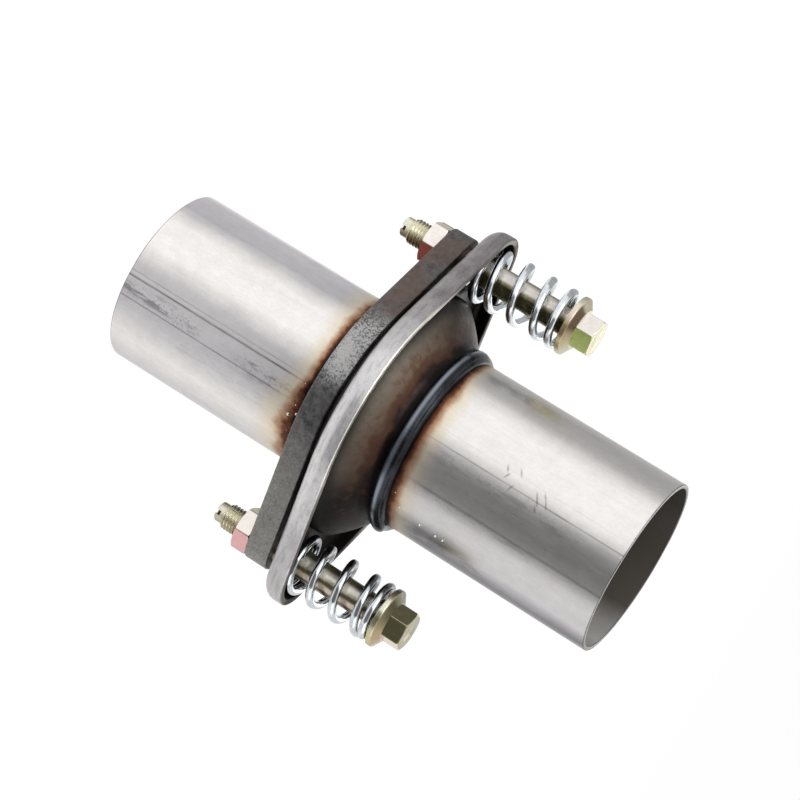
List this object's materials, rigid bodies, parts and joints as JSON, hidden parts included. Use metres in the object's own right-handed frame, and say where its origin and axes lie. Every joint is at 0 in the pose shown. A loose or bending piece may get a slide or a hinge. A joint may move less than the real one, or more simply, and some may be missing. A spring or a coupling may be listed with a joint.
{
  "type": "flexible pipe connector",
  "caption": "Sprung ball joint that joins two pipe ends and lets one tilt: flat and pressed flanges, sealing ring, shoulder bolts with coil springs, welded pipe stubs.",
  "frame": {"origin": "centre of the inlet pipe's open end, which it stands on", "axes": "+Z along the pipes to the outlet's open end, X through the two bolts, +Y to the side that the picture shows"},
  "size_m": [0.1466, 0.101, 0.1935],
  "materials": {
    "inlet_tube": "satin stainless tube with a lengthwise grain",
    "outlet_tube": "satin stainless tube, straw and brown heat tint near the bead",
    "hot_rolled_plate": "dark mill scale with brown rust specks",
    "pressed_sheet": "pressed stainless sheet, heat tinted round the bowl",
    "weld_bead": "dark blue-grey weld",
    "sintered_ring": "dull sintered metal",
    "yellow_zinc": "yellow passivated zinc plate",
    "spring_wire": "bright zinc plate"
  },
  "bodies": {
    "inlet": {"inlet_pipe": "inlet_tube", "inlet_flange": "hot_rolled_plate", "inlet_weld": "weld_bead", "sealing_ring": "sintered_ring", "bolt_right": "yellow_zinc", "bolt_left": "yellow_zinc", "nut_right": "yellow_zinc", "nut_left": "yellow_zinc"},
    "springs": {"spring_right": "spring_wire", "spring_left": "spring_wire"},
    "outlet": {"outlet_flange": "pressed_sheet", "outlet_weld": "weld_bead", "outlet_pipe": "outlet_tube"}
  },
  "joints": [
    {"name": "tilt_to_bolt", "type": "hinge", "parent": "inlet", "child": "springs", "pos_m": [0, 0, 0.058], "axis": [0, 1, 0], "range_deg": [-1.7, 1.7], "stiffness_Nm_per_rad": 200, "deforming": ["spring_right", "spring_left"]},
    {"name": "tilt_to_side", "type": "hinge", "parent": "springs", "child": "outlet", "pos_m": [0, 0, 0.058], "axis": [1, 0, 0], "range_deg": [-3.5, 3.5], "deforming": ["spring_right", "spring_left"]}
  ]
}
